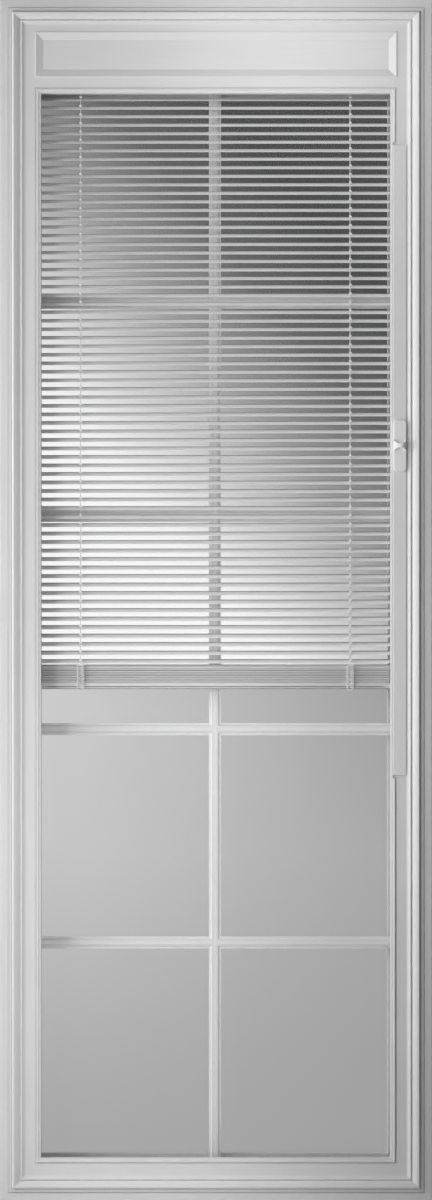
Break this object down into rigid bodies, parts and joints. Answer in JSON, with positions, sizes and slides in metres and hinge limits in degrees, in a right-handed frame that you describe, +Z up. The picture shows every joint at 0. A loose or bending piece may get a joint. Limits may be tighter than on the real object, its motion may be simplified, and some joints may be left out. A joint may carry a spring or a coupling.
{
  "type": "door glass insert with an enclosed blind",
  "caption": "Framed door glass insert with a slatted blind and a grille sealed between its panes; a handle that slides on a side track raises and lowers the blind.",
  "frame": {"origin": "centre of the door's cut-out, half way through the door's thickness", "axes": "+Z up, -Y towards the room side with the handle, +X to the right as seen from the room"},
  "size_m": [0.605, 0.0757, 1.68],
  "materials": {
    "frame_plastic": "satin white moulded plastic with a faint drawn texture",
    "trim_plastic": "satin white moulded plastic",
    "track_plastic": "smooth white plastic strip",
    "handle_plastic": "smooth pale grey moulded plastic",
    "glass": "clear float glass",
    "spacer_metal": "dull mill finish",
    "edge_seal": "matte black sealant",
    "glazing_tape": "matte grey foam tape",
    "setting_rubber": "matte black rubber",
    "screw_steel": "zinc plated",
    "grille_paint": "satin white paint on roll-formed strip",
    "nylon": "plain white moulded plastic",
    "rail_paint": "satin white paint",
    "slat_paint": "smooth baked paint on thin strip",
    "rod_steel": "bright drawn rod",
    "magnet": "plated magnet",
    "cord": "braided white cord"
  },
  "bodies": {
    "frame": {"interior_frame": "frame_plastic", "exterior_frame": "frame_plastic", "bead_trim_left": "trim_plastic", "bead_trim_right": "trim_plastic", "bead_trim_top": "trim_plastic", "bead_trim_bottom": "trim_plastic", "header_cover": "trim_plastic", "operator_track": "track_plastic", "interior_pane": "glass", "middle_pane": "glass", "exterior_pane": "glass", "blind_spacer": "spacer_metal", "grille_spacer": "spacer_metal", "blind_edge_seal": "edge_seal", "grille_edge_seal": "edge_seal", "interior_glazing_tape": "glazing_tape", "exterior_glazing_tape": "glazing_tape", "setting_blocks": "setting_rubber", "frame_screws": "screw_steel", "grille_upright": "grille_paint", "grille_bar_left_1": "grille_paint", "grille_bar_left_2": "grille_paint", "grille_bar_left_3": "grille_paint", "grille_bar_left_4": "grille_paint", "grille_bar_right_1": "grille_paint", "grille_bar_right_2": "grille_paint", "grille_bar_right_3": "grille_paint", "grille_bar_right_4": "grille_paint", "grille_clips": "nylon", "headrail_cap_left": "nylon", "headrail_cap_right": "nylon", "ladder_drum_left": "nylon", "ladder_drum_right": "nylon", "corner_cord_guide": "nylon", "headrail": "rail_paint", "carriage_guide": "rail_paint", "blind_slats": "slat_paint", "tilt_rod": "rod_steel", "ladder_cords": "cord", "lift_cords": "cord", "draw_cord": "cord", "headrail_cords": "cord"},
    "operator": {"operator_handle": "handle_plastic", "handle_magnet": "magnet"},
    "carriage": {"inner_carriage": "nylon", "carriage_magnet": "magnet"},
    "blind": {"slat_stack": "slat_paint", "bottom_rail": "rail_paint", "bottom_rail_cap_left": "nylon", "bottom_rail_cap_right": "nylon", "cord_clips": "nylon"}
  },
  "joints": [
    {"name": "blind_lift", "type": "slide", "parent": "frame", "child": "blind", "axis": [0, 0, 1], "range_m": [-0.643, 0.82], "deforming": ["blind_slats", "ladder_cords", "lift_cords"]},
    {"name": "operator_slide", "type": "slide", "parent": "frame", "child": "operator", "axis": [0, 0, 1], "range_m": [-0.41, 0.3215]},
    {"name": "carriage_slide", "type": "slide", "parent": "frame", "child": "carriage", "axis": [0, 0, 1], "range_m": [-0.41, 0.3215], "deforming": ["draw_cord"]}
  ],
  "couplings": [
    {"joint": "operator_slide", "follows": "blind_lift", "ratio": -0.5},
    {"joint": "carriage_slide", "follows": "blind_lift", "ratio": -0.5}
  ]
}
